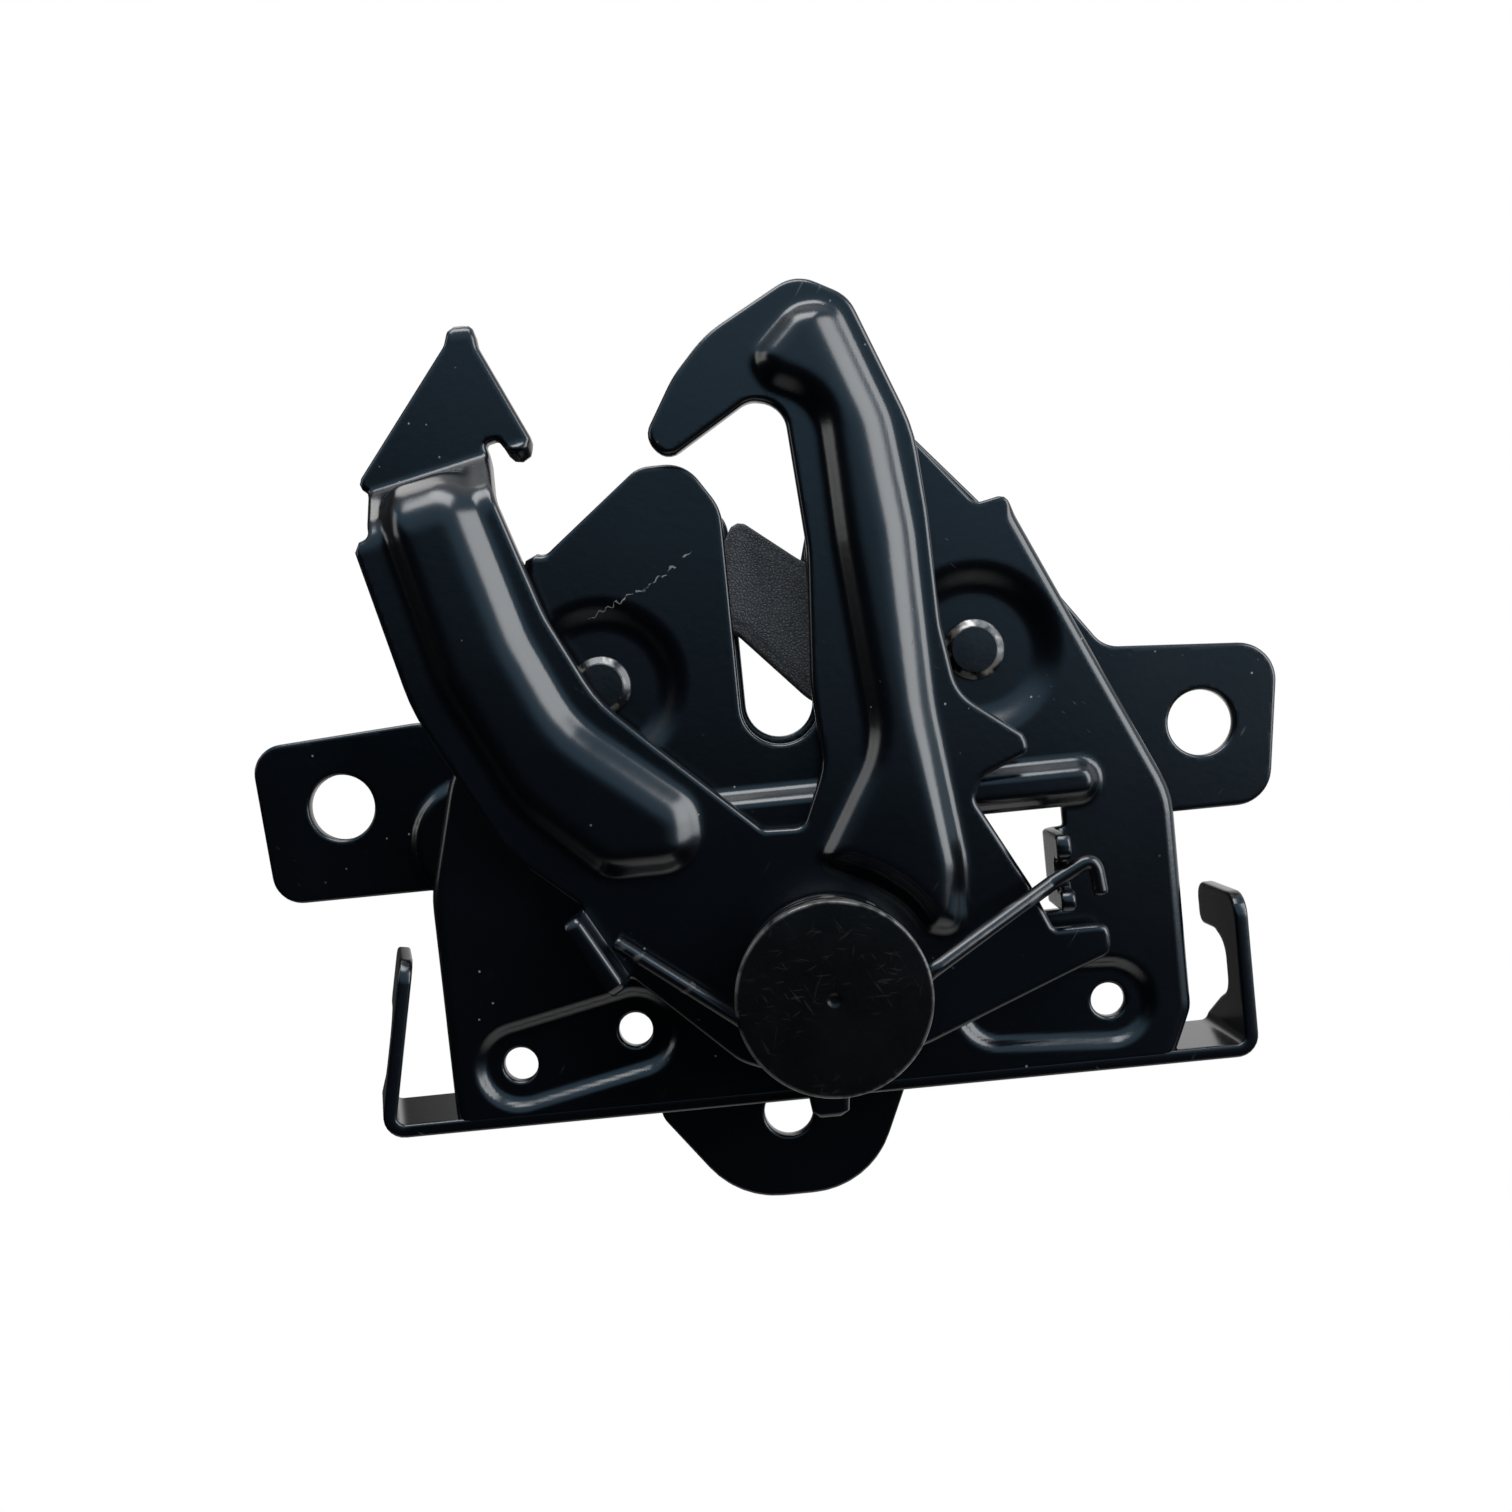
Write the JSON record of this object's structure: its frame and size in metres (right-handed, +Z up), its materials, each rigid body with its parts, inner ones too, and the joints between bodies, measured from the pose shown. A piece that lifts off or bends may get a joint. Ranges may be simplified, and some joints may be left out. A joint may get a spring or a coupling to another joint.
{
  "type": "bonnet latch",
  "caption": "Pressed-steel bonnet latch with a sprung claw and pawl between riveted plates, and a ribbed safety lever with a hook, a finger tab and a torsion spring.",
  "frame": {"origin": "midway between the two ear bolt holes, on the rear mounting face of the base plate", "axes": "+X along the row of ear bolts to the right as seen from the front, +Y to the back through the mounting face, +Z up towards the striker slot's mouth"},
  "size_m": [0.1378, 0.0336, 0.1195],
  "materials": {
    "black_coat": "glossy black dip coat on pressed steel",
    "grained_coat": "matt black moulded coat with a leather grain",
    "dark_steel": "dark coated steel",
    "rivet_steel": "black coat, worn to steel on the formed rim",
    "spring_steel": "oiled spring steel",
    "dull_coat": "dull black coat with fine scratches",
    "dark_wire": "black coated spring wire"
  },
  "bodies": {
    "frame": {"base_plate": "black_coat", "front_plate": "black_coat", "claw_rivet": "rivet_steel", "pawl_rivet": "rivet_steel", "lever_rivet": "dull_coat", "claw_spring": "spring_steel", "pawl_spring": "spring_steel", "lever_spring": "dark_wire"},
    "claw": {"claw": "grained_coat"},
    "pawl": {"pawl": "dark_steel"},
    "lever": {"safety_lever": "black_coat"}
  },
  "joints": [
    {"name": "claw_pivot", "type": "hinge", "parent": "frame", "child": "claw", "pos_m": [0.0274, -0.006, 0.0126], "axis": [0, -1, 0], "range_deg": [0, 57], "stiffness_Nm_per_rad": 0.02, "springref_deg": -57.3, "deforming": ["claw_spring"]},
    {"name": "pawl_pivot", "type": "hinge", "parent": "frame", "child": "pawl", "pos_m": [-0.0206, -0.006, 0.0126], "axis": [0, -1, 0], "range_deg": [-4, 9], "deforming": ["pawl_spring"]},
    {"name": "lever_pivot", "type": "hinge", "parent": "frame", "child": "lever", "pos_m": [0.0048, -0.015, -0.0267], "axis": [0, 1, 0], "range_deg": [0, 15], "stiffness_Nm_per_rad": 0.2, "springref_deg": -28.65, "deforming": ["lever_spring"]}
  ]
}
